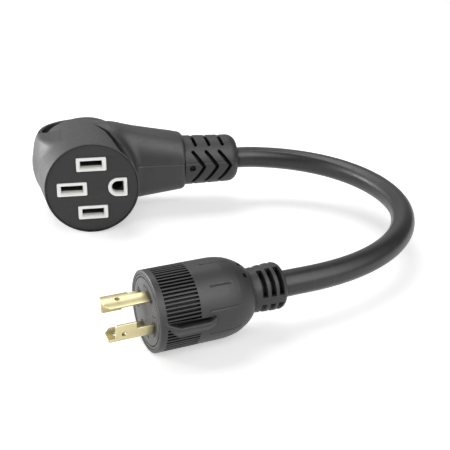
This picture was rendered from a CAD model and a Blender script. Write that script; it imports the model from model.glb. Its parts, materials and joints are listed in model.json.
"""Power cord set: a round receptacle head with a handle strap, a bent cord and a four-blade plug.

The head's socket face lies at y = 0 and looks towards -Y, with its barrel axis along Y.  Its
side arm runs along +X and holds the cord; +Z is up.  The plug lies level, its place and axis
given by the frame.  Shapes are worked out in mm and degrees, and scaled to metres in add_part.
"""

import json
import math

import bmesh
import bpy
import numpy as np
import openvdb as vdb
from mathutils import Matrix, Vector


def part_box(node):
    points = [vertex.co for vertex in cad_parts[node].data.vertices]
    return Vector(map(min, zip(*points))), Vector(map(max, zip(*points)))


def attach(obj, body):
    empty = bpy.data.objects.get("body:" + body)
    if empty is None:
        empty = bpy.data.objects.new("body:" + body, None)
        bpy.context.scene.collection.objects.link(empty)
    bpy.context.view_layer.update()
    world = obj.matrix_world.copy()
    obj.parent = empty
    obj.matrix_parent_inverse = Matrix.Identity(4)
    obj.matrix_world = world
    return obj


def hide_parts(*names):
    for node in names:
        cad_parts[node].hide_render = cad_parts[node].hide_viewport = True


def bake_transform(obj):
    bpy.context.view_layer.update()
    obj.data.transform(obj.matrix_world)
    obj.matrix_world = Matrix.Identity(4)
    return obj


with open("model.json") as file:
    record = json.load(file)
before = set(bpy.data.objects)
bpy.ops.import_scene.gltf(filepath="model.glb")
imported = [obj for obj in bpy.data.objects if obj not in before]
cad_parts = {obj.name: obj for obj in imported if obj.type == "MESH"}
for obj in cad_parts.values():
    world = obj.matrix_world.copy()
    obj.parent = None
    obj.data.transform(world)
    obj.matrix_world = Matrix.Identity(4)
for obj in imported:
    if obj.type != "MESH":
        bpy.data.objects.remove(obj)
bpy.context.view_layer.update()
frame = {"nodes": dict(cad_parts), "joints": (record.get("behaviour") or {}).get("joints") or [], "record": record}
MM = 0.001


def position(entry):
    return np.array(entry["pos_m"], float) * 1000


def node_box(node):
    low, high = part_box(node)
    return np.array(low) * 1000, np.array(high) * 1000


JOINTS = {j["name"]: position(j) for j in frame["joints"]}
MOUNTS = {m["name"]: m for m in frame["record"]["mounts"]}


# ------------------------------------------------------------------ materials
def new_mat(name):
    mat = bpy.data.materials.new(name)
    mat.use_nodes = True
    tree = mat.node_tree
    tree.nodes.clear()
    out = tree.nodes.new("ShaderNodeOutputMaterial")
    shader = tree.nodes.new("ShaderNodeBsdfPrincipled")
    tree.links.new(shader.outputs[0], out.inputs[0])
    return mat, tree, shader


def remap(tree, value, span, to):
    """Maps the range span linearly on to the range to, clamped."""
    node = tree.nodes.new("ShaderNodeMapRange")
    for key, number in zip(("From Min", "From Max", "To Min", "To Max"), (*span, *to)):
        node.inputs[key].default_value = number
    tree.links.new(value, node.inputs["Value"])
    return node.outputs[0]


def noise(tree, coord, scale, detail, rough=0.55):
    node = tree.nodes.new("ShaderNodeTexNoise")
    node.inputs["Scale"].default_value = scale
    node.inputs["Detail"].default_value = detail
    node.inputs["Roughness"].default_value = rough
    tree.links.new(coord, node.inputs["Vector"])
    return node.outputs["Fac"]


def calc(tree, operation, *values):
    node = tree.nodes.new("ShaderNodeMath")
    node.operation = operation
    for socket, value in zip(node.inputs, values):
        if isinstance(value, (int, float)):
            socket.default_value = value
        else:
            tree.links.new(value, socket)
    return node.outputs[0]


def mix_colour(tree, factor, *colours):
    node = tree.nodes.new("ShaderNodeMix")
    node.data_type = "RGBA"
    tree.links.new(factor, node.inputs[0])
    for index, colour in zip((6, 7), colours):     # the A and B colour sockets
        if isinstance(colour, tuple):
            node.inputs[index].default_value = (*colour, 1)
        else:
            tree.links.new(colour, node.inputs[index])
    return node.outputs[2]


def surface(name, base, rubbed, rough, grain=2600, bump=0.12, blotch=0.07, wear=0.35,
            metal=0.0, speck=0.0, crevice=0.05):
    """Moulded or metal surface: blotchy tone, fine grain, uneven gloss, paler rubbed edges.

    grain is the scale of the fine noise, blotch the tone change, wear the strength of the
    rubbed edges, speck that of pale specks, and crevice the light left in deep corners.
    """
    mat, tree, shader = new_mat(name)
    coord = tree.nodes.new("ShaderNodeTexCoord").outputs["Object"]
    blots = noise(tree, coord, scale=45, detail=3)
    fine = noise(tree, coord, scale=grain, detail=2, rough=0.6)
    mid = noise(tree, coord, scale=420, detail=5, rough=0.65)

    tone = remap(tree, blots, span=(0.3, 0.7), to=(0.0, 1.0))
    colour = mix_colour(tree, tone, base, tuple(c * (1 + blotch * 2.2) for c in base))
    if speck > 0:
        specks = remap(tree, fine, span=(0.42, 0.62), to=(0.0, speck))
        colour = mix_colour(tree, specks, colour, rubbed)

    geometry = tree.nodes.new("ShaderNodeNewGeometry")
    edge = remap(tree, geometry.outputs["Pointiness"], span=(0.52, 0.62), to=(0.0, wear))
    patches = remap(tree, mid, span=(0.35, 0.65), to=(0.4, 1.0))
    edge = calc(tree, "MULTIPLY", edge, patches)
    colour = mix_colour(tree, edge, colour, rubbed)

    occlusion = tree.nodes.new("ShaderNodeAmbientOcclusion")
    occlusion.samples = 6
    occlusion.inputs["Distance"].default_value = 0.0035
    openness = remap(tree, occlusion.outputs["AO"], span=(0.35, 0.92), to=(crevice, 1.0))
    colour = mix_colour(tree, openness, tuple(c * 0.15 for c in base), colour)
    specular = calc(tree, "MULTIPLY", openness, 0.5)
    tree.links.new(specular, shader.inputs["Specular IOR Level"])
    tree.links.new(colour, shader.inputs["Base Color"])

    gloss = calc(tree, "ADD",
                 remap(tree, mid, span=(0.3, 0.7), to=(rough - 0.05, rough + 0.06)),
                 remap(tree, blots, span=(0.3, 0.7), to=(-0.03, 0.03)))
    tree.links.new(gloss, shader.inputs["Roughness"])
    shader.inputs["IOR"].default_value = 1.48
    shader.inputs["Metallic"].default_value = metal

    relief = tree.nodes.new("ShaderNodeBump")
    relief.inputs["Strength"].default_value = bump
    relief.inputs["Distance"].default_value = 0.0002
    height = calc(tree, "ADD", calc(tree, "MULTIPLY", fine, 0.7),
                  calc(tree, "MULTIPLY", mid, 0.5))
    tree.links.new(height, relief.inputs["Height"])
    tree.links.new(relief.outputs[0], shader.inputs["Normal"])
    return mat


MATS = {
    "housing": surface("mat_housing", base=(0.036, 0.036, 0.0365), rubbed=(0.13, 0.13, 0.128),
                       rough=0.46, bump=0.16),
    "plug_housing": surface("mat_plug_housing", base=(0.030, 0.030, 0.0305),
                            rubbed=(0.11, 0.11, 0.108), rough=0.46, bump=0.16),
    "boot": surface("mat_boot", base=(0.026, 0.026, 0.027), rubbed=(0.11, 0.11, 0.11),
                    rough=0.5, grain=1800, bump=0.2),
    "socket_face": surface("mat_socket_face", base=(0.017, 0.017, 0.018),
                           rubbed=(0.05, 0.05, 0.05), rough=0.6, grain=1800, bump=0.25),
    "plug_face": surface("mat_plug_face", base=(0.07, 0.07, 0.072), rubbed=(0.2, 0.2, 0.21),
                         rough=0.6, grain=1500, bump=0.4, speck=0.5),
    "carrier": surface("mat_carrier", base=(0.11, 0.11, 0.112), rubbed=(0.2, 0.2, 0.2),
                       rough=0.6, grain=1500, crevice=0.7),
    "white_insert": surface("mat_white_insert", base=(0.88, 0.88, 0.855),
                            rubbed=(0.92, 0.92, 0.9), rough=0.42, grain=1500, bump=0.1,
                            blotch=0.03, wear=0.15, crevice=0.6),
    "brass": surface("mat_brass", base=(0.56, 0.50, 0.29), rubbed=(0.76, 0.73, 0.55),
                     rough=0.38, grain=1200, bump=0.1, blotch=0.06, wear=0.6, metal=1.0),
    "brass_deep": surface("mat_brass_in_socket", base=(0.16, 0.15, 0.12),
                          rubbed=(0.20, 0.19, 0.16), rough=0.5, grain=1200, bump=0.1,
                          blotch=0.08, wear=0.3, metal=1.0),
    "steel": surface("mat_steel", base=(0.45, 0.45, 0.46), rubbed=(0.7, 0.7, 0.7),
                     rough=0.35, metal=1.0, wear=0.5),
    "jacket": surface("mat_jacket", base=(0.020, 0.020, 0.021), rubbed=(0.06, 0.06, 0.062),
                      rough=0.34, grain=1400, bump=0.14),
    "core_black": surface("mat_core_black", base=(0.02, 0.02, 0.02),
                          rubbed=(0.06, 0.06, 0.06), rough=0.3),
    "core_red": surface("mat_core_red", base=(0.42, 0.03, 0.02), rubbed=(0.6, 0.1, 0.08),
                        rough=0.3),
    "core_white": surface("mat_core_white", base=(0.75, 0.75, 0.73),
                          rubbed=(0.85, 0.85, 0.85), rough=0.3, blotch=0.02),
    "core_green": surface("mat_core_green", base=(0.03, 0.24, 0.06), rubbed=(0.1, 0.4, 0.14),
                          rough=0.3),
}


# ------------------------------------------------------------------ mesh helpers
def add_part(name, points, faces, slot, sharp, mat=None, rides=None, replaces=()):
    """Smooth-shaded mesh from points in mm; edges steeper than sharp degrees stay crisp."""
    mesh = bpy.data.meshes.new(name)
    mesh.from_pydata((np.asarray(points, float) * MM).tolist(), [], [list(f) for f in faces])
    mesh.validate()
    bm = bmesh.new()
    bm.from_mesh(mesh)
    if bm.calc_volume(signed=True) < 0:
        bmesh.ops.reverse_faces(bm, faces=bm.faces)
    bm.to_mesh(mesh)
    bm.free()
    mesh.update()
    mesh.polygons.foreach_set("use_smooth", np.ones(len(mesh.polygons), bool))
    mesh.set_sharp_from_angle(angle=math.radians(sharp))
    mesh.materials.append(MATS[mat or slot])
    part = bpy.data.objects.new(name, mesh)
    bpy.context.scene.collection.objects.link(part)
    if rides:
        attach(part, rides)
    if replaces:
        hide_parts(*replaces)
    return part


def field_surface(field, low, high, cell):
    """Surface field = 0 over a box as quads, with its points pulled on to the surface."""
    count = [int(math.ceil((high[i] - low[i]) / cell)) + 1 for i in range(3)]
    axes = [low[i] + cell * np.arange(count[i], dtype=np.float32) for i in range(3)]
    values = np.empty(count, np.float32)
    for i in range(0, count[0], 24):     # in slabs, to limit memory
        values[i:i + 24] = field(*np.meshgrid(axes[0][i:i + 24], axes[1], axes[2],
                                              indexing="ij"))
    values[0] = values[-1] = 1.0
    values[:, 0] = values[:, -1] = 1.0
    values[:, :, 0] = values[:, :, -1] = 1.0
    grid = vdb.FloatGrid(1.0)
    grid.copyFromArray(np.ascontiguousarray(np.clip(values, -3 * cell, 3 * cell)))
    points, quads = grid.convertToQuads(0.0)
    points = np.array(points, np.float64) * cell + np.array(low)
    e = 0.15 * cell
    for _ in range(3):
        x, y, z = points.T
        value = field(x, y, z)
        slope = np.stack([field(x + e, y, z) - field(x - e, y, z),
                          field(x, y + e, z) - field(x, y - e, z),
                          field(x, y, z + e) - field(x, y, z - e)], 1) / (2 * e)
        steepness = np.maximum((slope * slope).sum(1), 0.05)
        move = slope * (value / steepness)[:, None]
        length = np.linalg.norm(move, axis=1)
        move *= np.minimum(1, 0.5 * cell / np.maximum(length, 1e-9))[:, None]
        points -= move
    return points, np.array(quads)


def smooth_union(a, b, width):
    t = np.clip(0.5 + 0.5 * (b - a) / width, 0, 1)
    return b * (1 - t) + a * t - width * t * (1 - t)


def round_intersect(a, b, radius):
    u, v = np.maximum(a + radius, 0), np.maximum(b + radius, 0)
    return np.minimum(np.maximum(a, b), -radius) + np.sqrt(u * u + v * v)


def smooth_step(start, end, x):
    t = np.clip((x - start) / (end - start), 0, 1)
    return t * t * (3 - 2 * t)


def superellipse(a, b, half_a, half_b, power, min_slope):
    """Near-distance to a superellipse centred on a = b = 0."""
    u, v = np.abs(a) / half_a + 1e-4, np.abs(b) / half_b + 1e-4
    total = u ** power + v ** power
    q = total ** (1 / power - 1)
    slope = np.sqrt((q * u ** (power - 1) / half_a) ** 2 + (q * v ** (power - 1) / half_b) ** 2)
    return (total ** (1 / power) - 1) / np.maximum(slope, min_slope)


def loft(loops):
    """Quads between loops of equal point count; the last loop joins the first."""
    n, m = len(loops), len(loops[0])
    faces = []
    for i in range(n):
        a, b = i * m, ((i + 1) % n) * m
        for j in range(m):
            k = (j + 1) % m
            faces.append((a + j, a + k, b + k, b + j))
    return np.concatenate(loops), faces


def polar(radius, degrees, x=0.0, y=0.0):
    a = math.radians(degrees)
    return x + radius * math.cos(a), y + radius * math.sin(a)


def circle(radius, count):
    turns = [2 * math.pi * i / count for i in range(count)]
    return np.array([(radius * math.cos(a), radius * math.sin(a)) for a in turns])


def round_rect(width, height, corner):
    x, y = width / 2 - corner, height / 2 - corner
    centres = ((x, y, 0), (-x, y, 90), (-x, -y, 180), (x, -y, 270))
    return np.array([polar(corner, start + 90 * i / 6, cx, cy)
                     for cx, cy, start in centres for i in range(7)])


def dee(radius, flat, corner):
    """Half circle on the -x side, straight edge at x = flat."""
    points = [polar(radius, 90 + 180 * i / 28) for i in range(29)]
    for cy, start in ((-radius + corner, 270), (radius - corner, 0)):
        points += [polar(corner, start + 90 * i / 5, flat - corner, cy) for i in range(6)]
    return np.array(points)


def arc_band(inner, outer, start, end):
    angles = np.linspace(start, end, 20)
    return np.array([polar(outer, a) for a in angles] + [polar(inner, a) for a in angles[::-1]])


def rotate(points, degrees):
    c, s = math.cos(math.radians(degrees)), math.sin(math.radians(degrees))
    x, y = points[:, 0], points[:, 1]
    return np.stack([x * c - y * s, x * s + y * c], 1)


def plate(name, outlines, bottom, top, bevel, place, **part):
    """Flat plate with holes and islands from closed outlines, then placed by place(points)."""
    curve = bpy.data.curves.new(name + "_c", "CURVE")
    curve.dimensions = "2D"
    curve.fill_mode = "BOTH"
    for outline in outlines:
        spline = curve.splines.new("POLY")
        spline.points.add(len(outline) - 1)
        for i, (x, y) in enumerate(outline):
            spline.points[i].co = (x, y, 0, 1)
        spline.use_cyclic_u = True
    curve.bevel_depth = bevel
    curve.bevel_resolution = 1
    curve.offset = -bevel
    curve.extrude = (top - bottom) / 2 - bevel
    temp = bpy.data.objects.new(name + "_c", curve)
    bpy.context.scene.collection.objects.link(temp)
    bpy.context.view_layer.update()
    evaluated = temp.evaluated_get(bpy.context.evaluated_depsgraph_get())
    mesh = bpy.data.meshes.new_from_object(evaluated)
    bm = bmesh.new()
    bm.from_mesh(mesh)
    bmesh.ops.remove_doubles(bm, verts=bm.verts, dist=1e-4)
    points = np.array([v.co for v in bm.verts], float)
    bm.verts.index_update()
    faces = [[v.index for v in f.verts] for f in bm.faces]
    bm.free()
    bpy.data.objects.remove(temp)
    bpy.data.meshes.remove(mesh)
    bpy.data.curves.remove(curve)
    points[:, 2] += (bottom + top) / 2
    return add_part(name, place(points), faces, **part)


def wrap(degrees):
    return (degrees + 180) % 360 - 180


def lathe(name, profile, carve, count, place, **part):
    """Closed turned body from (along, radius) points.

    carve(angle, along, radius) returns the changed radius.
    """
    profile = np.array(profile, float)
    angles = 360.0 * np.arange(count) / count
    along = np.repeat(profile[:, 0][:, None], count, 1)
    radius = np.repeat(profile[:, 1][:, None], count, 1)
    angle = np.repeat(angles[None, :], len(profile), 0)
    radius = carve(angle, along, radius)
    a = np.radians(angle)
    loops = [place(np.stack([along[i], radius[i] * np.cos(a[i]), radius[i] * np.sin(a[i])], 1))
             for i in range(len(profile))]
    return add_part(name, *loft(loops), **part)


# ------------------------------------------------------------------ receptacle shell
housing_low, housing_high = node_box("receptacle_housing")
boot_low, boot_high = node_box("receptacle_boot")
BARREL_R = housing_high[2]
ARM_END = boot_low[0] - 0.05
EXIT = boot_high[0]                    # x where the cord leaves the strain relief
CORD_Y = (boot_low[1] + boot_high[1]) / 2
STRAP_BACK = min(housing_high[1], 95.5)
STRAP_Z = 7.0                          # middle height of the handle strap
STRAP_HALF = 21.0                      # its half height, before it narrows above
STRAP_THICK = 3.4
STRAP_X, STRAP_Y = 3.0, 58.0           # centre of the strap's bow
DISC_R = BARREL_R - 1.15
SEAM_Z = 3.2                           # height of the mould line
ARM_Y = 54                             # middle depth of the arm

# x along the arm, then its height above z = 0
ARM_ABOVE = ([2, 8, 18, 28, 38, 53, 68, 76, ARM_END],
             [36.3, 36.3, 35.9, 33.7, 31.2, 28.2, 25.3, 23.4, 22.6])
# x along the arm, then its depth below z = 0
ARM_BELOW = ([2, 20, 41, 58, 75, ARM_END],
             [31.5, 31, 29, 26.3, 23.6, 23.0])
# angle from +X up or down the barrel, then y where its recess starts to deepen
RECESS_START = ([12, 20, 54.9, 59.7, 67.4, 82.1, 90],
                [-170, -120, 3, 20, 37, 50, 50])
# angle from +X, then y of the step at the back of the recess
RECESS_BACK = ([0, 12, 28, 38.8, 49.4, 60.6, 82, 90],
               [2.5, 4, 10, 20, 30, 40, 50, 50.5])


def swollen_radius(x, y, z):
    """Radius from the barrel axis, with the -X side stretched more towards the back."""
    swell = 3.5 * smooth_step(0, 62, y) + 3.6 * (1 - np.exp(-np.maximum(y, 0) / 26))
    stretch = np.where(x < 0, (BARREL_R + swell) / BARREL_R, 1.0)
    return np.sqrt((x / stretch) ** 2 + z * z)


def recess(x, y, z, radius):
    """Space cut from the +X half in front of the step line, deeper towards the step."""
    angle = np.degrees(np.arctan2(np.abs(z), x))
    start = np.interp(angle, *RECESS_START)
    back = np.interp(angle, *RECESS_BACK)
    t = np.clip((y - start) / np.maximum(back - start, 1.5), 0, 1)
    depth = ((3.3 * t + 1.3 * smooth_step(0.82, 0.97, t)) * smooth_step(6, 26, angle)
             * smooth_step(86, 74, angle) * smooth_step(1.2, 2.4, y) * (x > 0))
    back = np.where(x > 0, back, -50)
    return np.minimum(radius - BARREL_R + depth, (back - y) * 0.9)


def arm(x, y, z):
    half_up = np.where(z > 0, np.interp(x, *ARM_ABOVE), np.interp(x, *ARM_BELOW))
    half_deep = np.where(y < ARM_Y, np.interp(x, [36, ARM_END], [19.2, 21.2]), 21.0)
    field = superellipse(y - ARM_Y, z, half_deep, half_up, power=2.4, min_slope=0.01)
    field = round_intersect(field, x - (ARM_END - 0.1), 3.8)
    return np.maximum(field, 1.5 - x)


def strap_bow(x, y, z):
    """Field of the bow whose outline the strap follows, seen from above."""
    half_x = np.maximum(46.4 - 0.0104 * (z - STRAP_Z) ** 2, 30)
    return superellipse(x - STRAP_X, y - STRAP_Y, half_x, STRAP_BACK - STRAP_Y,
                        power=2.15, min_slope=0.004)


def strap(x, y, z, bow):
    above = STRAP_HALF - 10.0 * smooth_step(-8, 32, x)     # lower towards the arm
    field = np.abs(bow + STRAP_THICK / 2) - STRAP_THICK / 2
    ends = np.maximum(z - STRAP_Z - above, STRAP_Z - STRAP_HALF - z)
    return np.maximum(round_intersect(field, ends, 1.4), 61 - y)


def strap_root(x, y, z, bow):
    """Solid that joins the strap to the barrel's -X side."""
    ends = np.maximum(z - 27.6 + 6.5 * smooth_step(59, 67, y), -13.0 - z)
    field = round_intersect(bow + 0.12, ends, 3.0)
    return np.maximum(np.maximum(field, x + 26), np.maximum(y - 76, 14 - y))


def head(x, y, z):
    """Field of the whole shell, negative inside."""
    radius = swollen_radius(x, y, z)
    barrel = round_intersect(radius - BARREL_R, y - 75, 7)
    field = smooth_union(barrel, arm(x, y, z), 0.4 + 7.6 * smooth_step(10, 26, x))
    field = round_intersect(field, -(y + 0.5), 0.45)
    field = np.maximum(field, recess(x, y, z, radius))

    bow = strap_bow(x, y, z)
    field = smooth_union(field, strap(x, y, z, bow), 2.2)
    field = smooth_union(field, strap_root(x, y, z, bow), 7.0 - 5.0 * smooth_step(54, 62, y))

    # mould line on the arm and the strap
    line = np.exp(-((z - SEAM_Z) / 0.55) ** 2)
    field = field + 0.42 * line * ((x > 38.5) & (y < 76)) + 0.3 * line * (y > 78)

    # seat of the face disc, hollow behind it, and cord hole
    from_axis = np.sqrt(x * x + z * z)
    field = np.maximum(field, -np.maximum(from_axis - (DISC_R + 0.25), y - 5.4))
    field = np.maximum(field, -np.maximum(from_axis - 31.5, np.maximum(y - 67, -y - 5)))
    from_cord = np.sqrt((y - CORD_Y) ** 2 + z * z)
    return np.maximum(field, -np.maximum(from_cord - 10.8, 20 - x))


points, quads = field_surface(head, low=(-47.5, -2.5, -39.5), high=(83, STRAP_BACK + 2.5, 39.5),
                              cell=0.5)
add_part("receptacle_shell", points, quads, slot="housing", sharp=50, rides="receptacle",
         replaces=("receptacle_housing",))

# ------------------------------------------------------------------ socket face
slots = {}                             # name: centre x, centre z, width, height
for key in ("line_x", "line_y", "neutral"):
    low, high = node_box(key + "_collar")
    slots[key] = ((low[0] + high[0]) / 2, (low[2] + high[2]) / 2,
                  high[0] - low[0], high[2] - low[2])
low, high = node_box("ground_collar")
GROUND_X = position(MOUNTS["ground_socket"])[0]
GROUND_R = (high[2] - low[2]) / 2
GROUND_FLAT = high[0] - GROUND_X
COLLAR_GAP = 0.4


def place_face(points):
    """Outline x, y to world x, z; thickness runs back along +Y."""
    return np.stack([points[:, 0], points[:, 2], points[:, 1]], 1)


outlines = [circle(DISC_R, 192)]
for cx, cz, width, height in slots.values():
    outlines.append(round_rect(width + 2 * COLLAR_GAP, height + 2 * COLLAR_GAP, 1.1) + [cx, cz])
outlines.append(dee(GROUND_R + COLLAR_GAP, GROUND_FLAT + COLLAR_GAP, 1.4) + [GROUND_X, 0])
plate("socket_face_disc", outlines, 0.0, 5.3, 0.22, place_face, slot="socket_face", sharp=30,
      rides="receptacle", replaces=("receptacle_face",))

# offset inwards from the outline, whether it is the opening's outline, y
COLLAR_LOOPS = [
    (0, False, 5.05), (0, False, -0.1), (0.12, False, -0.26), (0.3, False, -0.3),
    (-0.95, True, -0.3), (-0.8, True, -0.22), (-0.62, True, 0.02), (-0.5, True, 0.05),
    (0, True, 0.75), (0, True, 5.05),
]


def collar(key, outline, cx, cz):
    """White frame with a bevelled inner lip; outline(offset, inside) gives each loop."""
    loops = []
    for offset, inside, y in COLLAR_LOOPS:
        p = outline(offset, inside)
        loops.append(np.stack([p[:, 0] + cx, np.full(len(p), y), p[:, 1] + cz], 1))
    add_part(key + "_frame", *loft(loops), slot="white_insert", sharp=28, rides="receptacle",
             replaces=(key + "_collar",))


def ground_outline(offset, inside):
    if inside:
        return dee(4.65 - offset, 4.65 - offset, 0.9)
    return dee(GROUND_R - offset, GROUND_FLAT - offset, 1.2)


for key, (cx, cz, width, height) in slots.items():
    def slot_outline(offset, inside, width=width, height=height):
        if inside:
            return round_rect(16.8 - 2 * offset, 5.3 - 2 * offset, 0.5 - min(offset, 0) * 0.5)
        return round_rect(width - 2 * offset, height - 2 * offset, 1.0 - offset)
    collar(key, slot_outline, cx, cz)
collar("ground", ground_outline, GROUND_X, 0)

# ------------------------------------------------------------------ head strain relief
BORE_R = 8.85
RELIEF_R0, RELIEF_R1 = 20.5, 19.6      # radius at the arm and where the end rounds off
RELIEF_ROUND = 8.6


def segment_distance(px, py, ax, ay, bx, by):
    dx, dy = bx - ax, by - ay
    t = np.clip(((px - ax) * dx + (py - ay) * dy) / (dx * dx + dy * dy), 0, 1)
    return np.hypot(px - ax - t * dx, py - ay - t * dy)


def carve_relief(angle, along, radius):
    """Three rows of arrow-shaped grooves, a round dimple and the mould line."""
    outer = radius > BORE_R + 3
    # angle counts upwards from -Y; the +Y half mirrors the -Y half
    folded = wrap(np.where(np.abs(wrap(angle)) > 90, 180 - angle, angle))
    arc = np.radians(folded) * 20.0
    groove = np.full(angle.shape, 99.0)
    for j in range(3):
        tip = ARM_END + 15.0 + 10.95 * j
        lines = [(tip - 9.3, np.radians(36) * 20, tip - 0.6, 0.8),
                 (tip - 9.3, -np.radians(44) * 20, tip - 0.2, -0.4)]
        for sign in (1, -1):
            lines.append((tip - 6.5 + 0.3 * j, sign * np.radians(54) * 20,
                          tip - 8.2 + 0.3 * j, sign * np.radians(80) * 20))
        for line in lines:
            groove = np.minimum(groove, segment_distance(along, arc, *line))
    dimple = np.hypot(along - (ARM_END + 5.0), arc + 1.0) - 2.3
    cut = 3.9 * smooth_step(0.24, -0.24, groove - 1.12)
    cut = np.maximum(cut, 2.6 * smooth_step(0.24, -0.24, dimple))
    seam = 0.32 * np.exp(-((arc - SEAM_Z) / 0.5) ** 2)
    return radius - np.where(outer, cut + seam * (along < EXIT - 1), 0)


def place_relief(points):
    """Section plane: cosine towards -Y, sine up."""
    return np.stack([points[:, 0], CORD_Y - points[:, 1], points[:, 2]], 1)


profile = [(ARM_END - 0.9, BORE_R)]
profile += [(ARM_END - 0.9, r) for r in np.arange(BORE_R + 2, 20.2, 2.0)]
profile += [(ARM_END - 0.89, 20.2), (ARM_END - 0.6, RELIEF_R0), (ARM_END + 0.3, RELIEF_R0)]
round_start = EXIT - RELIEF_ROUND
for x in np.arange(ARM_END + 0.6, round_start, 0.42):
    taper = (RELIEF_R1 - RELIEF_R0) * (x - ARM_END) / (round_start - ARM_END)
    profile.append((x, RELIEF_R0 + taper))
for i in range(25):
    a = math.radians(90 * i / 24)
    profile.append((round_start + RELIEF_ROUND * math.sin(a),
                    RELIEF_R1 - RELIEF_ROUND + RELIEF_ROUND * math.cos(a)))
profile += [(EXIT, r) for r in (10.6, 9.9, 9.4)] + [(EXIT - 0.15, 9.0), (EXIT - 0.5, BORE_R)]
profile += [(x, BORE_R) for x in np.linspace(EXIT - 5, ARM_END + 5, 8)]
lathe("receptacle_strain_relief", profile, carve_relief, 330, place_relief,
      slot="boot", sharp=40, rides="receptacle", replaces=("receptacle_boot",))

# ------------------------------------------------------------------ plug shell
PLUG_FACE = position(MOUNTS["plug_blades"])
PLUG_BACK = np.array(MOUNTS["plug_blades"]["axis"], float)     # level, from face to cord
PLUG_BACK[2] = 0
PLUG_BACK /= np.linalg.norm(PLUG_BACK)
PLUG_SIDE = np.array([-PLUG_BACK[1], PLUG_BACK[0], 0.0])       # level, across the axis
PLUG_DOWN = np.array([0, 0, -1.0])
PLUG_R = 25.8
PLUG_LEN = 67.0
GRIP_GROOVES = 66


def place_plug(points):
    """Plug frame: x down, y to PLUG_SIDE, z back from the face."""
    return (PLUG_FACE + np.outer(points[:, 2], PLUG_BACK) + np.outer(points[:, 1], PLUG_SIDE)
            + np.outer(points[:, 0], PLUG_DOWN))


def place_turned(points):
    """Turned bodies: along the axis, away from PLUG_SIDE, up."""
    return place_plug(np.stack([-points[:, 2], -points[:, 1], points[:, 0]], 1))


# seams on the smooth part: angle up from -PLUG_SIDE, start, end along the axis
SEAMS = [
    (46, 35.5, 49), (13, 32.8, 52.5), (-24, 32.8, 54), (-56, 35, 47.5), (86, 35, 53.5),
    (118, 34, 52), (150, 34, 52), (-178, 34, 52), (-86, 34, 52), (-117, 34, 52), (-148, 34, 52),
]
NOTCH_ANGLES = (58, 84, -122, -96)
# dome profile: distance from the face, then radius
DOME = ([26.4, 41, 46, 50, 54, 57, 60, 62, 64, 65.2, 66.0, 66.5, 66.9],
        [PLUG_R, PLUG_R, PLUG_R - 0.1, PLUG_R - 0.6, 24.3, 23.1, 21.6, 20.4, 18.9, 17.9, 17.0,
         15.6, 13.6])


def carve_plug(angle, along, radius):
    turn = wrap(angle)
    outer = radius > np.where(along < 56, 23.0, np.where(along < 62, 19.0, 16.0))
    arc = np.radians(turn) * PLUG_R
    phase = (turn / 360 * GRIP_GROOVES) % 1.0
    from_rib = np.abs(phase - 0.5) * 360 / GRIP_GROOVES
    groove = (1.5 * smooth_step(1.65, 1.1, from_rib) * smooth_step(4.35, 4.7, along)
              * smooth_step(26.05, 25.7, along))

    # the tab: a pointed wedge with a ridge, hollowed above it
    t = np.clip((along - 2.0) / 9.5, 0, 1)
    top = 3.4 - 0.05 * (along - 2)
    end = smooth_step(35.4, 34.8, along)
    on_tab = ((arc < top + 0.7) & (arc > 3.0 * (1 - t) - 8.4 * t)
              & (along < 35.8) & (along > 2.0))
    groove = np.where(on_tab, 0, groove)
    above = arc - (3.0 - 3.6 * t + 2.0 * smooth_step(29, 35.4, along) ** 1.5)
    ridge = 2.5 * t * end
    pocket = (-1.9 * t * smooth_step(0.0, 1.5, above) * smooth_step(top + 0.3, top - 0.5, arc)
              * end)
    tab = np.where(above > 0,
                   np.where(arc < top + 0.3, ridge * smooth_step(1.7, 0.5, above) + pocket, 0),
                   ridge * (1 - smooth_step(0.4, 6.6, -above)))
    tab = np.where((along > 35.9) | (along < 2.0), 0, tab)

    # thin seams, each with a small round pit at its start
    seam = np.zeros(angle.shape)
    for at, start, stop in SEAMS:
        off = np.radians(wrap(turn - at)) * PLUG_R
        line = (0.42 * np.exp(-(off / 0.42) ** 2) * smooth_step(start - 0.6, start + 0.2, along)
                * smooth_step(stop + 1, stop - 1, along))
        pit = 0.5 * smooth_step(0.9, 0.4, np.hypot(off, along - start))
        seam = np.maximum(np.maximum(seam, line), pit)

    # small notches on the dome, near the strain relief
    notch = np.zeros(angle.shape)
    for at in NOTCH_ANGLES:
        off = np.abs(np.radians(wrap(turn - at)) * 21.0)
        notch = np.maximum(notch, 1.4 * smooth_step(1.7, 1.3, off)
                           * smooth_step(59.2, 59.7, along) * smooth_step(62.0, 61.5, along))
    return radius + np.where(outer, tab - groove - seam - notch, 0)


def plug_profile():
    """Outside from the face rim to the cord hole, then back along the inside."""
    step = 0.7
    stations = [2.0, 3.0, 4.0, 4.25, 4.45, 4.6, 4.8, 5.2, *np.arange(5.8, 25.0, step),
                25.2, 25.6, 25.8, 25.95, 26.1, 26.4]
    rim = [(0.0, 23.3), (0.0, 24.6), (0.12, 25.3), (0.5, 25.75), (1.0, PLUG_R)]
    dome = np.arange(26.9, 66.9, step * 0.6)
    radii = np.interp(dome, *DOME)
    kernel = np.exp(-np.linspace(-1.6, 1.6, 5) ** 2)
    kernel /= kernel.sum()
    padded = np.concatenate([np.full(2, radii[0]), radii, np.full(2, radii[-1])])
    radii = np.convolve(padded, kernel, "valid")
    inside = [
        (PLUG_LEN, 13.1), (PLUG_LEN, 12.3), (66.9, 10.6), (66.5, BORE_R), (65.8, BORE_R),
        (65.0, BORE_R), (64.2, BORE_R), (64, 10.6), (58, 10.6), (54.9, 10.6), (50, 16),
        (46.9, 21.5), (40, 21.5), (30, 21.5), (20, 21.5), (10, 21.5), (5.2, 21.5), (5.0, 23.3),
    ]
    return rim + [(x, PLUG_R) for x in stations] + list(zip(dome, radii)) + inside


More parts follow.
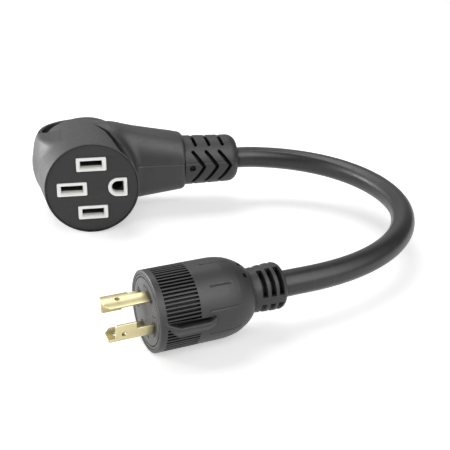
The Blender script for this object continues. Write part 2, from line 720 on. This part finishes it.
lathe("plug_shell", plug_profile(), carve_plug, 756, place_turned,
      slot="housing", mat="plug_housing", sharp=35, rides="plug", replaces=("plug_housing",))

# ------------------------------------------------------------------ plug strain relief
TAIL_START = PLUG_LEN + 0.05
TAIL_LEN = 23.5
TAIL_ROUND = 3.0
TAIL_SLOTS = [7.2, 13.0, 18.6]         # slot centres from TAIL_START
SLOT_ARCS = ((41, 37.5), (133, 37.5), (221, 34), (307, 34))    # middle angle, half width


def carve_tail(angle, along, radius):
    cut = np.zeros(angle.shape)
    for middle, half in SLOT_ARCS:
        off = np.abs(wrap(angle - middle))
        for centre in TAIL_SLOTS:
            gap = np.abs(along - TAIL_START - centre)
            cut = np.maximum(cut, 4.6 * smooth_step(half + 0.6, half - 0.6, off)
                             * smooth_step(1.72, 1.5, gap))
    outer = (radius > 12.6) & (along < TAIL_START + TAIL_LEN - 3.1)
    return radius - np.where(outer, cut, 0)


def tail_profile():
    stations = set(np.round(np.arange(0.6, TAIL_LEN - 3.1, 0.7), 3))
    for centre in TAIL_SLOTS:
        for dx in (-1.75, -1.6, -1.45, 1.45, 1.6, 1.75):     # crisp slot walls
            stations.add(round(centre + dx, 3))
    start, end = TAIL_START, TAIL_START + TAIL_LEN
    profile = [(start, BORE_R), (start, 12.5), (start, 13.8), (start + 0.2, 14.0)]
    for x in sorted(stations):
        radius = np.interp(x, [0, 3, 7, 12, 17, 21.3], [14.0, 14.3, 14.7, 15.1, 15.35, 15.3])
        profile.append((start + x, float(radius)))
    for i in range(13):
        a = math.radians(90 * i / 12)
        profile.append((end - TAIL_ROUND + TAIL_ROUND * math.sin(a),
                        15.2 - TAIL_ROUND + TAIL_ROUND * math.cos(a)))
    profile += [(end, 10.2), (end, 9.5), (end - 0.15, 9.1), (end - 0.5, BORE_R)]
    return profile + [(x, BORE_R) for x in np.linspace(end - 4, start + 3, 6)]


lathe("plug_strain_relief", tail_profile(), carve_tail, 360, place_turned,
      slot="boot", sharp=35, rides="plug", replaces=("plug_boot",))

# ------------------------------------------------------------------ plug face
BLADE_R = 14.0                         # middle radius of the curved blades
BLADE_ARC = 33.0
BLADE_ANGLES = [5.0 + 90 * k - 90 for k in range(4)]
blade_holes = [rotate(arc_band(BLADE_R - 1, BLADE_R + 1, -0.6, BLADE_ARC + 0.6), a)
               for a in BLADE_ANGLES]

# a ring groove near the rim and a thin outline round each blade hole
outlines = [circle(23.15, 160), circle(21.75, 160), circle(21.2, 160)]
for angle, hole in zip(BLADE_ANGLES, blade_holes):
    outlines.append(rotate(arc_band(11.3, 16.9, -18, 37), angle))
    outlines.append(rotate(arc_band(11.75, 16.45, -16.2, 35.2), angle))
    outlines.append(hole)
plate("plug_face_plate", outlines, 0.25, 4.0, 0.1, place_plug, slot="plug_face", sharp=30,
      rides="plug", replaces=("plug_face",))
plate("plug_face_backing", [circle(21.95, 160)] + blade_holes, 1.6, 4.9, 0.05, place_plug,
      slot="carrier", sharp=30, rides="plug")

# ------------------------------------------------------------------ blades
# name, length in front of the face, in the order of BLADE_ANGLES
BLADES = [("line_x", 24.0), ("neutral", 25.0), ("line_y", 24.0), ("ground", 28.5)]
BLADE_HALF, BLADE_EDGE = 0.9, 0.25     # half thickness, edge rounding
# hollow crimp barrel: radius, distance behind the face
CRIMP = [(3.75, 29.6), (3.8, 30.2), (3.8, 36.6), (3.5, 36.9), (2.75, 36.9), (2.5, 36.6),
         (2.5, 31.0), (0.6, 30.6), (0.6, 29.6)]


def polygon_distance(px, py, corners):
    distance = np.full(px.shape, 1e9)
    sign = np.ones(px.shape)
    for i, (ax, ay) in enumerate(corners):
        bx, by = corners[i - 1]
        ex, ey = bx - ax, by - ay
        wx, wy = px - ax, py - ay
        t = np.clip((wx * ex + wy * ey) / (ex * ex + ey * ey), 0, 1)
        distance = np.minimum(distance, (wx - ex * t) ** 2 + (wy - ey * t) ** 2)
        c1, c2, c3 = py >= ay, py < by, ex * wy > ey * wx
        sign = np.where((c1 & c2 & c3) | (~c1 & ~c2 & ~c3), -sign, sign)
    return sign * np.sqrt(distance)


def blade(name, length, angle):
    """Curved blade with a hook at its tip and a round hole."""
    degree = math.pi / 180 * BLADE_R     # arc length of one degree
    hook = -16.0
    corners = [
        (0.0, 29.5), (0.0, -11.0), (hook * degree, -11.0), (hook * degree, -length + 0.8),
        ((hook + 3) * degree, -length), ((BLADE_ARC - 13) * degree, -length),
        (BLADE_ARC * degree, -length + 3.6), (BLADE_ARC * degree, 29.5),
    ]

    def field(x, y, z):
        arc = np.arctan2(y, x) * BLADE_R
        edge = polygon_distance(arc, z, corners) + BLADE_EDGE
        wall = np.abs(np.hypot(x, y) - BLADE_R) - BLADE_HALF + BLADE_EDGE
        body = (np.minimum(np.maximum(edge, wall), 0)
                + np.hypot(np.maximum(edge, 0), np.maximum(wall, 0)) - BLADE_EDGE)
        hole = np.hypot(arc - 8.5 * degree, z + 19) - 1.5
        return np.maximum(body, -hole)

    points, quads = field_surface(field, (6.5, -6.0, -length - 1), (16.5, 10.0, 30.5),
                                  0.22)
    points[:, :2] = rotate(points[:, :2], angle)
    add_part(name + "_blade", place_plug(points), quads, slot="brass", sharp=40, rides="plug",
             replaces=("plug_%s_blade" % name,))


def crimp(name, angle):
    cx, cy = rotate(np.array([[BLADE_R, 0.0]]), angle + BLADE_ARC / 2)[0]
    loops = [place_plug(np.array([(cx + x, cy + y, z) for x, y in circle(radius, 32)]))
             for radius, z in CRIMP]
    add_part(name + "_blade_crimp", *loft(loops), slot="brass", sharp=35, rides="plug")


for (name, length), angle in zip(BLADES, BLADE_ANGLES):
    blade(name, length, angle)
    crimp(name, angle)

# ------------------------------------------------------------------ cord path
CORD_R = 8.75
LIP_R = 8.69                           # reach of the ball-shaped lips along the cord
cord_end = PLUG_FACE + PLUG_BACK * (PLUG_LEN + TAIL_LEN)
corners = [np.array([EXIT, CORD_Y, 0.0])]
corners += [JOINTS["bend_%d" % k] for k in range(1, 13)]
corners += [cord_end]
mids = [(a + b) / 2 for a, b in zip(corners, corners[1:])]

# straight ends, and a parabola round each bend
inlet = np.array([ARM_END + 4, CORD_Y, 0.0])
outlet = PLUG_FACE + PLUG_BACK * 60.0
path = [inlet + (mids[0] - inlet) * t for t in np.linspace(0, 1, 60, endpoint=False)]
for a, b, c in zip(mids, corners[1:], mids[1:]):
    for t in np.linspace(0, 1, 40, endpoint=False):
        path.append((1 - t) ** 2 * a + 2 * t * (1 - t) * b + t * t * c)
path += [mids[-1] + (outlet - mids[-1]) * t for t in np.linspace(0, 1, 60)]
path = np.array(path)

# even spacing, then light smoothing with the ends kept
run = np.concatenate([[0], np.cumsum(np.linalg.norm(np.diff(path, axis=0), axis=1))])
LAST = int(run[-1] / (1.0))
RUN = np.linspace(0, run[-1], LAST + 1)
CENTRE = np.stack([np.interp(RUN, run, path[:, i]) for i in range(3)], 1)
for _ in range(6):
    CENTRE[1:-1] = 0.25 * CENTRE[:-2] + 0.5 * CENTRE[1:-1] + 0.25 * CENTRE[2:]
ALONG = np.gradient(CENTRE, axis=0)
ALONG /= np.linalg.norm(ALONG, axis=1)[:, None]
SIDE = np.cross(np.array([0, 0, 1.0]), ALONG)
SIDE /= np.linalg.norm(SIDE, axis=1)[:, None]
UP = np.cross(ALONG, SIDE)
TURNS = np.linspace(0, 2 * math.pi, 96, endpoint=False)


def ring(i, radius, shift=0.0):
    return (CENTRE[i] + shift + np.outer(radius * np.cos(TURNS), SIDE[i])
            + np.outer(radius * np.sin(TURNS), UP[i]))


def jacket_radius(i):
    """Soft flats round the cord, and two shallow creases on opposite sides."""
    at = RUN[i]
    flats = 0.10 * np.cos(4 * (TURNS - 0.35 - 0.004 * at)) + 0.05 * np.cos(7 * TURNS + 0.011 * at)
    radius = CORD_R + flats - 0.06
    for degrees, depth in ((118, 0.22), (298, 0.18)):
        off = (TURNS - math.radians(degrees) + math.pi) % (2 * math.pi) - math.pi
        radius = radius - depth * np.exp(-(off / 0.07) ** 2)
    return radius


def outside(first, last):
    return [ring(i, jacket_radius(i)) for i in range(first, last + 1)]


def inside(indices):
    return [ring(i, np.full(TURNS.shape, 7.15)) for i in indices]


def lip(i, sign):
    """Ball-shaped lip round cord point i, closed by a ring near the inner wall."""
    angles = [math.radians(a) for a in (3, 7, 12, 17, 22, 27, 32)]
    radii = [jacket_radius(i) * math.cos(a) for a in angles] + [7.2]
    return [ring(i, radius, sign * ALONG[i] * LIP_R * math.sin(a))
            for a, radius in zip(angles + angles[-1:], radii)]


def nearest(point):
    return int(np.argmin(np.linalg.norm(CENTRE - point, axis=1)))


# ------------------------------------------------------------------ cord sleeves
hinges = list(JOINTS.values())
bodies = ["receptacle"] + ["cord_%d" % k for k in range(1, 15)] + ["plug"]
cuts = [0] + [nearest((hinges[k] + hinges[k + 1]) / 2) for k in range(14)] + [LAST]
SPLIT = (5, 8, 9)                      # hinges with two half sleeves
REVERSED = (6, 10)                     # hinges whose blend is given from its far end


def split_sleeve(k, first, last):
    """Two half sleeves that meet in lips at the hinge, each riding on its own cord length."""
    name = "cord_sleeve_%d" % (k + 1)
    middle = nearest(hinges[k])
    loops = (outside(first, middle) + lip(middle, 1)
             + inside(list(range(first, middle, 4))[::-1]))
    add_part(name + "a", *loft(loops), slot="jacket", sharp=60, rides=bodies[k])
    loops = lip(middle, -1)[::-1] + outside(middle, last) + inside(range(last, middle, -4))
    add_part(name + "b", *loft(loops), slot="jacket", sharp=60, rides=bodies[k + 1],
             replaces=("cord_jacket_%d" % (k + 1),))


def soft_sleeve(k, first, last):
    """One sleeve that bends in the zone round its hinge, between two stiff lengths."""
    indices = list(range(first, last + 1, 4))
    if indices[-1] != last:
        indices.append(last)
    loops = outside(first, last) + inside(indices[::-1])
    sleeve = add_part("cord_sleeve_%d" % (k + 1), *loft(loops), slot="jacket", sharp=60)

    hinge = hinges[k]
    direction = ALONG[nearest(hinge)]
    if k == 0:
        before = min(5.0, hinge[0] - EXIT - 0.2)
    else:
        before = np.linalg.norm(hinge - hinges[k - 1]) / 2
    if k == 14:
        after = max(2.0, np.linalg.norm(cord_end - hinge) - 0.3)
    else:
        after = np.linalg.norm(hinges[k + 1] - hinge) / 2
    ends = [(bodies[k], hinge - direction * before), (bodies[k + 1], hinge + direction * after)]
    if k in REVERSED:
        ends.reverse()
    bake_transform(sleeve)

    replaced = ["receptacle_cord_end"] if k == 0 else []
    replaced.append("cord_jacket_%d" % (k + 1) if k < 14 else "plug_cord_end")
    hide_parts(*replaced)


for k in range(15):
    build = split_sleeve if k in SPLIT else soft_sleeve
    build(k, cuts[k], cuts[k + 1])

# ------------------------------------------------------------------ nodes kept from the frame
slot_of = {p["node"]: p["material_slot"] for p in frame["record"]["subparts"]}
core_mats = [MATS["core_" + colour] for colour in ("black", "red", "white", "green")]
for name, node in frame["nodes"].items():
    if node.hide_render:
        continue
    mat = MATS.get(slot_of.get(name, "housing"), MATS["housing"])
    if name.endswith("_contact"):
        mat = MATS["brass_deep"]
    cores = name.startswith("cord_cores") and len(node.material_slots) == 4
    for i, material_slot in enumerate(node.material_slots):
        material_slot.material = core_mats[i] if cores else mat

# ------------------------------------------------------------------ floor
bpy.ops.mesh.primitive_plane_add(size=6, location=(0.1, 0, housing_low[2] * MM - 0.0001))
floor = bpy.context.object
floor.name = "floor"
mat, tree, shader = new_mat("mat_floor")
coord = tree.nodes.new("ShaderNodeTexCoord").outputs["Object"]
clouds = noise(tree, coord, scale=3, detail=4)
tree.links.new(mix_colour(tree, clouds, (0.93, 0.93, 0.93), (0.95, 0.95, 0.95)),
               shader.inputs["Base Color"])
tree.links.new(remap(tree, clouds, span=(0.3, 0.7), to=(0.6, 0.7)), shader.inputs["Roughness"])
shader.inputs["Specular IOR Level"].default_value = 0.1
shader.inputs["Emission Color"].default_value = (1, 1, 1, 1)
shader.inputs["Emission Strength"].default_value = 0.5
floor.data.materials.append(mat)

# ------------------------------------------------------------------ world
world = bpy.data.worlds.new("studio")
bpy.context.scene.world = world
world.use_nodes = True
tree = world.node_tree
background = tree.nodes["Background"]
background.inputs[0].default_value = (1, 1, 1, 1)
coord = tree.nodes.new("ShaderNodeTexCoord").outputs["Generated"]
split = tree.nodes.new("ShaderNodeSeparateXYZ")
tree.links.new(coord, split.inputs[0])
ambient = remap(tree, split.outputs[1], span=(-0.75, 0.45), to=(0.26, 0.10))


def lobe(direction, span, strength):
    """Soft patch of the studio walls; span is the cosine where it starts and is full."""
    node = tree.nodes.new("ShaderNodeVectorMath")
    node.operation = "DOT_PRODUCT"
    tree.links.new(coord, node.inputs[0])
    node.inputs[1].default_value = Vector(direction).normalized()
    return remap(tree, node.outputs["Value"], span=span, to=(0.0, strength))


walls = lobe(direction=(0.45, -0.58, 0.68), span=(0.72, 0.96), strength=3.6)
walls = calc(tree, "ADD", walls,
             lobe(direction=(-0.9, 0.25, 0.1), span=(0.6, 0.95), strength=2.4))
walls = calc(tree, "ADD", walls,
             lobe(direction=(-0.1, 0.85, 0.35), span=(0.5, 0.95), strength=0.5))
# the patches show in reflections only
glossy = tree.nodes.new("ShaderNodeLightPath").outputs["Is Glossy Ray"]
strength = calc(tree, "ADD", ambient, calc(tree, "MULTIPLY", glossy, walls))
tree.links.new(strength, background.inputs[1])


# ------------------------------------------------------------------ lights
def area(name, location, target, size, power):
    light = bpy.data.lights.new(name, "AREA")
    light.shape = "RECTANGLE"
    light.size, light.size_y = size
    light.energy = power
    lamp = bpy.data.objects.new(name, light)
    lamp.location = location
    lamp.rotation_mode = "QUATERNION"
    aim = Vector(target) - Vector(location)
    lamp.rotation_quaternion = aim.to_track_quat("-Z", "Y")
    bpy.context.scene.collection.objects.link(lamp)


middle = (0.09, -0.05, 0.0)
area("key", location=(0.05, -1.2, 0.95), target=middle, size=(1.2, 1.0), power=6.5)
area("back", location=(-0.05, 0.65, 1.35), target=middle, size=(1.1, 0.7), power=9.5)
area("left", location=(-1.1, 0.42, 0.26), target=(0, 0.03, 0), size=(0.7, 0.45), power=13)

# ------------------------------------------------------------------ camera
CAMERA_AT = (-0.0323, -0.6978, 0.2701)
CAMERA_ROLL = math.radians(-0.628)
camera_data = bpy.data.cameras.new("camera")
camera_data.sensor_fit = "HORIZONTAL"
camera_data.sensor_width = 36
camera_data.lens = 76.81
camera_data.clip_start, camera_data.clip_end = 0.01, 20
camera = bpy.data.objects.new("camera", camera_data)
bpy.context.scene.collection.objects.link(camera)
view = np.array([0.1768, 0.9002, -0.3978])
view /= np.linalg.norm(view)
level = np.array([0.9812, -0.1927, 0.0])
level -= view * (level @ view)
level /= np.linalg.norm(level)
down = np.cross(view, level)
right = level * math.cos(CAMERA_ROLL) + down * math.sin(CAMERA_ROLL)
down = down * math.cos(CAMERA_ROLL) - level * math.sin(CAMERA_ROLL)
rows = [(right[i], -down[i], -view[i], CAMERA_AT[i]) for i in range(3)]
camera.matrix_world = Matrix((*rows, (0, 0, 0, 1)))
bpy.context.scene.camera = camera
bpy.context.scene.view_settings.view_transform = "Standard"
